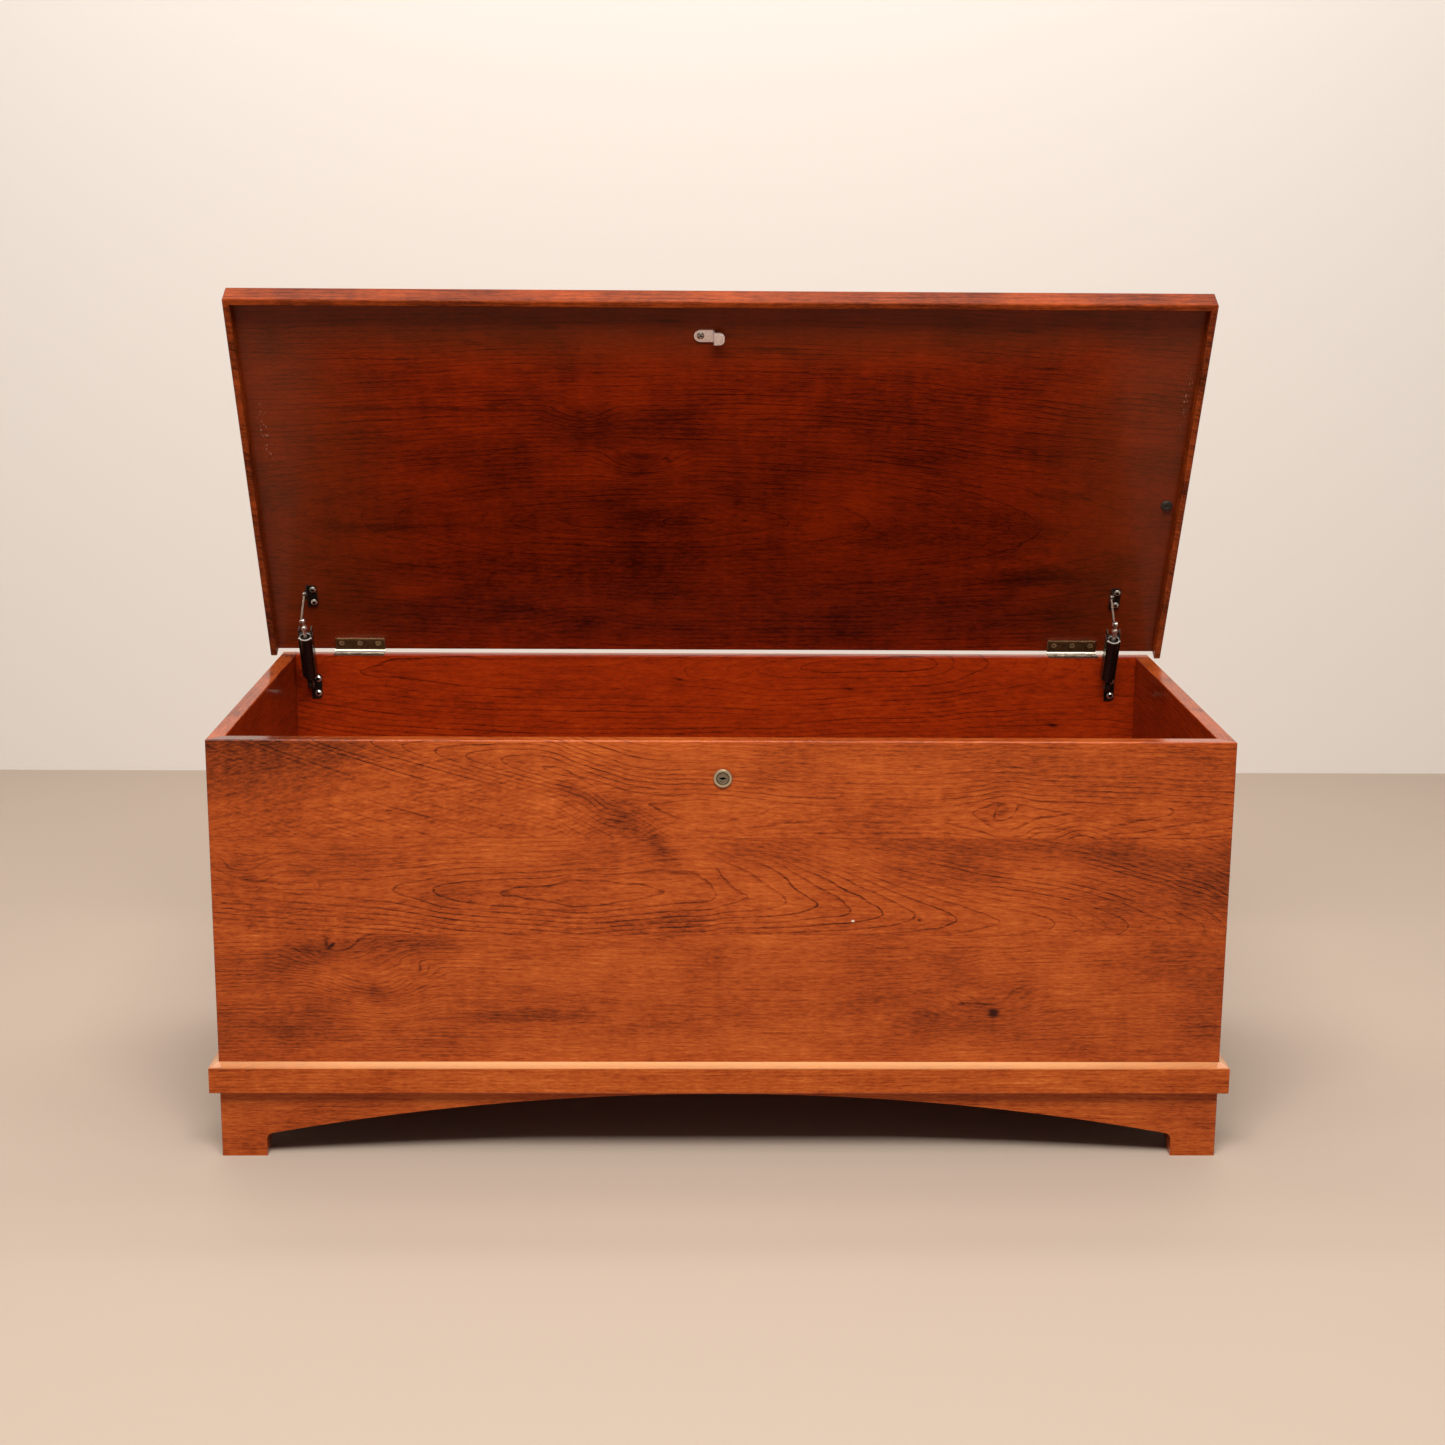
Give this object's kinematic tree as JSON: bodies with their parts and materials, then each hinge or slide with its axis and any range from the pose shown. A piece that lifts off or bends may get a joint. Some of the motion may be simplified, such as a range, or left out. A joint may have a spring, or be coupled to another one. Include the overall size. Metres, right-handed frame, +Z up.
{
  "type": "wooden storage chest",
  "caption": "Long wooden storage chest with a hinged lid held open by folding stays, a small cam lock, a plain base moulding and arched bracket feet.",
  "frame": {"origin": "on the floor, bottom centre of the whole chest's bounding box with the lid at its rest angle", "axes": "+Z up, -Y towards the viewer (the front face), +X along the length to the chest's right-hand end as seen from the front"},
  "size_m": [1.147, 0.525, 0.9486],
  "materials": {
    "case_wood": "gloss varnish, red-brown stain",
    "base_wood": "gloss varnish, red-brown stain",
    "moulding_wood": "gloss varnish, red-brown stain",
    "inner_wood": "satin varnish, red-brown stain",
    "lid_wood": "gloss varnish, red-brown stain",
    "antique_brass": "antique, dark patina",
    "stay_black": "black, satin",
    "stay_steel": "bright zinc",
    "zinc": "bright zinc",
    "nickel": "nickel plate, slightly worn",
    "rubber": "matte"
  },
  "bodies": {
    "chest": {"front_board_upper": "case_wood", "front_board_middle": "case_wood", "front_board_lower": "case_wood", "left_side_panel": "case_wood", "right_side_panel": "case_wood", "back_panel": "case_wood", "bottom_panel": "inner_wood", "bottom_cleat_front": "inner_wood", "bottom_cleat_back": "inner_wood", "bottom_cleat_left": "inner_wood", "bottom_cleat_right": "inner_wood", "front_apron": "base_wood", "left_apron": "base_wood", "right_apron": "base_wood", "back_apron": "base_wood", "corner_block_front_left": "inner_wood", "corner_block_front_right": "inner_wood", "corner_block_back_left": "inner_wood", "corner_block_back_right": "inner_wood", "front_moulding": "moulding_wood", "left_moulding": "moulding_wood", "right_moulding": "moulding_wood", "hinge_left_case_leaf": "antique_brass", "hinge_right_case_leaf": "antique_brass", "hinge_pins": "antique_brass", "hinge_case_screws": "antique_brass", "stay_left_case_bracket": "stay_black", "stay_right_case_bracket": "stay_black", "stay_case_rivets": "stay_steel", "stay_case_screws": "stay_steel", "lock_housing": "antique_brass", "lock_nut": "zinc"},
    "lid": {"lid_panel": "lid_wood", "lid_front_edging": "lid_wood", "lid_left_edging": "lid_wood", "lid_right_edging": "lid_wood", "strike_plate": "nickel", "strike_screw": "zinc", "lid_bumper": "rubber", "hinge_left_lid_leaf": "antique_brass", "hinge_right_lid_leaf": "antique_brass", "hinge_lid_screws": "antique_brass", "stay_left_lid_bracket": "stay_black", "stay_right_lid_bracket": "stay_black", "stay_lid_rivets": "stay_steel", "stay_lid_screws": "stay_steel"},
    "lock_core": {"lock_plug": "antique_brass", "lock_cam": "zinc", "lock_cam_screw": "zinc"},
    "barrel_left": {"stay_left_barrel": "stay_black"},
    "rod_left": {"stay_left_rod": "stay_steel", "stay_left_rod_nut": "stay_steel", "stay_left_link_pin": "stay_steel"},
    "link_left": {"stay_left_link": "stay_black"},
    "barrel_right": {"stay_right_barrel": "stay_black"},
    "rod_right": {"stay_right_rod": "stay_steel", "stay_right_rod_nut": "stay_steel", "stay_right_link_pin": "stay_steel"},
    "link_right": {"stay_right_link": "stay_black"}
  },
  "joints": [
    {"name": "lid_hinge", "type": "hinge", "parent": "chest", "child": "lid", "pos_m": [0, 0.2493, 0.4806], "axis": [-1, 0, 0], "range_deg": [-63.5, 20]},
    {"name": "lock_turn", "type": "hinge", "parent": "chest", "child": "lock_core", "pos_m": [0, -0.2357, 0.4384], "axis": [0, -1, 0], "range_deg": [0, 90]},
    {"name": "stay_left_barrel_swing", "type": "hinge", "parent": "chest", "child": "barrel_left", "pos_m": [-0.5193, 0.21509, 0.44377], "axis": [-1, 0, 0], "range_deg": [-62.2, 19.8]},
    {"name": "stay_left_rod_slide", "type": "slide", "parent": "barrel_left", "child": "rod_left", "axis": [0, -0.4473, 0.8944], "range_m": [-0.0067, 0.0022]},
    {"name": "stay_left_link_swing", "type": "hinge", "parent": "rod_left", "child": "link_left", "pos_m": [-0.5193, 0.17022, 0.5335], "axis": [-1, 0, 0], "range_deg": [-22, 69]},
    {"name": "stay_right_barrel_swing", "type": "hinge", "parent": "chest", "child": "barrel_right", "pos_m": [0.5012, 0.21509, 0.44377], "axis": [-1, 0, 0], "range_deg": [-62.2, 19.8]},
    {"name": "stay_right_rod_slide", "type": "slide", "parent": "barrel_right", "child": "rod_right", "axis": [0, -0.4473, 0.8944], "range_m": [-0.0067, 0.0022]},
    {"name": "stay_right_link_swing", "type": "hinge", "parent": "rod_right", "child": "link_right", "pos_m": [0.5012, 0.17022, 0.5335], "axis": [-1, 0, 0], "range_deg": [-22, 69]}
  ],
  "couplings": [
    {"joint": "stay_left_barrel_swing", "follows": "lid_hinge", "ratio": 0.973},
    {"joint": "stay_left_rod_slide", "follows": "lid_hinge", "m_per_rad": 0.00589},
    {"joint": "stay_left_link_swing", "follows": "lid_hinge", "ratio": -1.0797},
    {"joint": "stay_right_barrel_swing", "follows": "lid_hinge", "ratio": 0.973},
    {"joint": "stay_right_rod_slide", "follows": "lid_hinge", "m_per_rad": 0.00589},
    {"joint": "stay_right_link_swing", "follows": "lid_hinge", "ratio": -1.0797}
  ]
}
